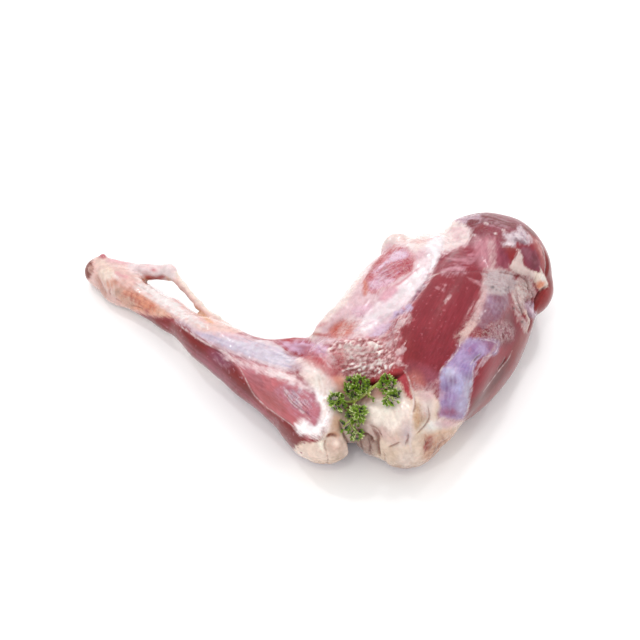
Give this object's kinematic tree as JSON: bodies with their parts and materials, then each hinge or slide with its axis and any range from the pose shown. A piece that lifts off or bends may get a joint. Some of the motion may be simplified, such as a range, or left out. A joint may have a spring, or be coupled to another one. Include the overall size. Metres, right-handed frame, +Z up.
{
  "type": "raw leg of lamb",
  "caption": "Raw leg of lamb on the bone, lying on its side with bent knee, bare shank, open heel tendon and trimmed thigh muscles, with a sprig of curly parsley over the knee.",
  "frame": {"origin": "middle of the footprint, on the surface that the leg lies on", "axes": "+Z up, +X from the shank towards the hip end, +Y from the knee towards the top of the thigh"},
  "size_m": [0.4044, 0.239, 0.0949],
  "materials": {
    "raw_lamb": "wet raw meat, dark red muscle under silverskin with cream fat and pale tendon",
    "parsley": "fresh curly parsley, ruffled green leaflets on pale green stalks"
  },
  "bodies": {
    "root": {"leg": "raw_lamb", "parsley": "parsley"}
  },
  "joints": []
}
